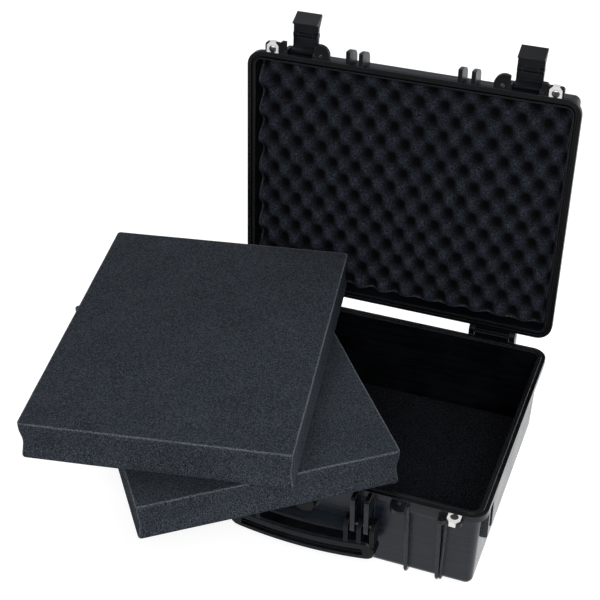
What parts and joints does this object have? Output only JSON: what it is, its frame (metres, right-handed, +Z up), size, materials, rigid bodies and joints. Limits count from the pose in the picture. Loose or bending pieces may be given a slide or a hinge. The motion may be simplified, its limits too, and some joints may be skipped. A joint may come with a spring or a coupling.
{
  "type": "microphone case",
  "caption": "Hard plastic carrying case with a hinged lid, draw latches, a swinging handle, a pressure valve and foam inserts.",
  "frame": {"origin": "centre of the flat field under the base, on the surface the case stands on", "axes": "+X to the right along the front, +Y to the back where the hinges are, +Z up"},
  "size_m": [0.644, 0.621, 0.5633],
  "materials": {
    "shell_plastic": "fine moulded texture, near-black blue-grey, soft sheen",
    "latch_plastic": "moulded black plastic, a little smoother than the shell",
    "steel": "bright stamped stainless steel",
    "pin_steel": "plain ground pin",
    "seal_rubber": "matt black round seal",
    "block_foam": "open-cell foam, dark blue-grey, matt with fine pores",
    "crate_foam": "open-cell egg-crate foam, dark blue-grey, matt"
  },
  "bodies": {
    "base": {"base_shell": "shell_plastic", "base_foam_pad": "block_foam", "hinge_pin_left": "pin_steel", "hinge_pin_right": "pin_steel", "handle_pin_left": "pin_steel", "handle_pin_right": "pin_steel", "base_eye_plate_left": "steel", "base_eye_plate_right": "steel", "valve_body": "latch_plastic", "valve_seal": "seal_rubber", "valve_nut": "latch_plastic"},
    "lid": {"lid_shell": "shell_plastic", "lid_seal": "seal_rubber", "lid_foam": "crate_foam", "lid_eye_plate_left": "steel", "lid_eye_plate_right": "steel", "link_pin_left": "pin_steel", "link_pin_right": "pin_steel"},
    "link_left": {"latch_link_left": "latch_plastic", "lever_pin_left": "pin_steel"},
    "lever_left": {"latch_lever_left": "latch_plastic"},
    "link_right": {"latch_link_right": "latch_plastic", "lever_pin_right": "pin_steel"},
    "lever_right": {"latch_lever_right": "latch_plastic"},
    "handle": {"handle": "latch_plastic"},
    "valve_knob": {"valve_knob": "latch_plastic"},
    "lower_block": {"lower_foam_block": "block_foam"},
    "upper_block": {"upper_foam_block": "block_foam"}
  },
  "joints": [
    {"name": "lid_hinge", "type": "hinge", "parent": "base", "child": "lid", "pos_m": [0, 0.1918, 0.1405], "axis": [1, 0, 0], "range_deg": [0, 93.75]},
    {"name": "link_pivot_left", "type": "hinge", "parent": "lid", "child": "link_left", "pos_m": [-0.1563, 0.23075, 0.51305], "axis": [1, 0, 0], "range_deg": [0, 90]},
    {"name": "lever_pivot_left", "type": "hinge", "parent": "link_left", "child": "lever_left", "pos_m": [-0.1563, 0.23801, 0.53663], "axis": [-1, 0, 0], "range_deg": [0, 75]},
    {"name": "link_pivot_right", "type": "hinge", "parent": "lid", "child": "link_right", "pos_m": [0.1563, 0.23075, 0.51305], "axis": [1, 0, 0], "range_deg": [0, 90]},
    {"name": "lever_pivot_right", "type": "hinge", "parent": "link_right", "child": "lever_right", "pos_m": [0.1563, 0.23801, 0.53663], "axis": [-1, 0, 0], "range_deg": [0, 75]},
    {"name": "handle_swing", "type": "hinge", "parent": "base", "child": "handle", "pos_m": [0, -0.1905, 0.082], "axis": [-1, 0, 0], "range_deg": [0, 95]},
    {"name": "valve_turn", "type": "hinge", "parent": "base", "child": "valve_knob", "pos_m": [0, -0.185, 0.094], "axis": [0, -1, 0], "range_deg": [0, 270]},
    {"name": "lower_block_slide", "type": "slide", "parent": "base", "child": "lower_block", "axis": [0, -1, 0], "range_m": [0, 0.45]},
    {"name": "upper_block_lift", "type": "slide", "parent": "lower_block", "child": "upper_block", "axis": [0, 0, 1], "range_m": [0, 0.06]}
  ],
  "couplings": [
    {"joint": "lower_block_slide", "follows": "lid_hinge", "m_per_rad": 0.275}
  ]
}
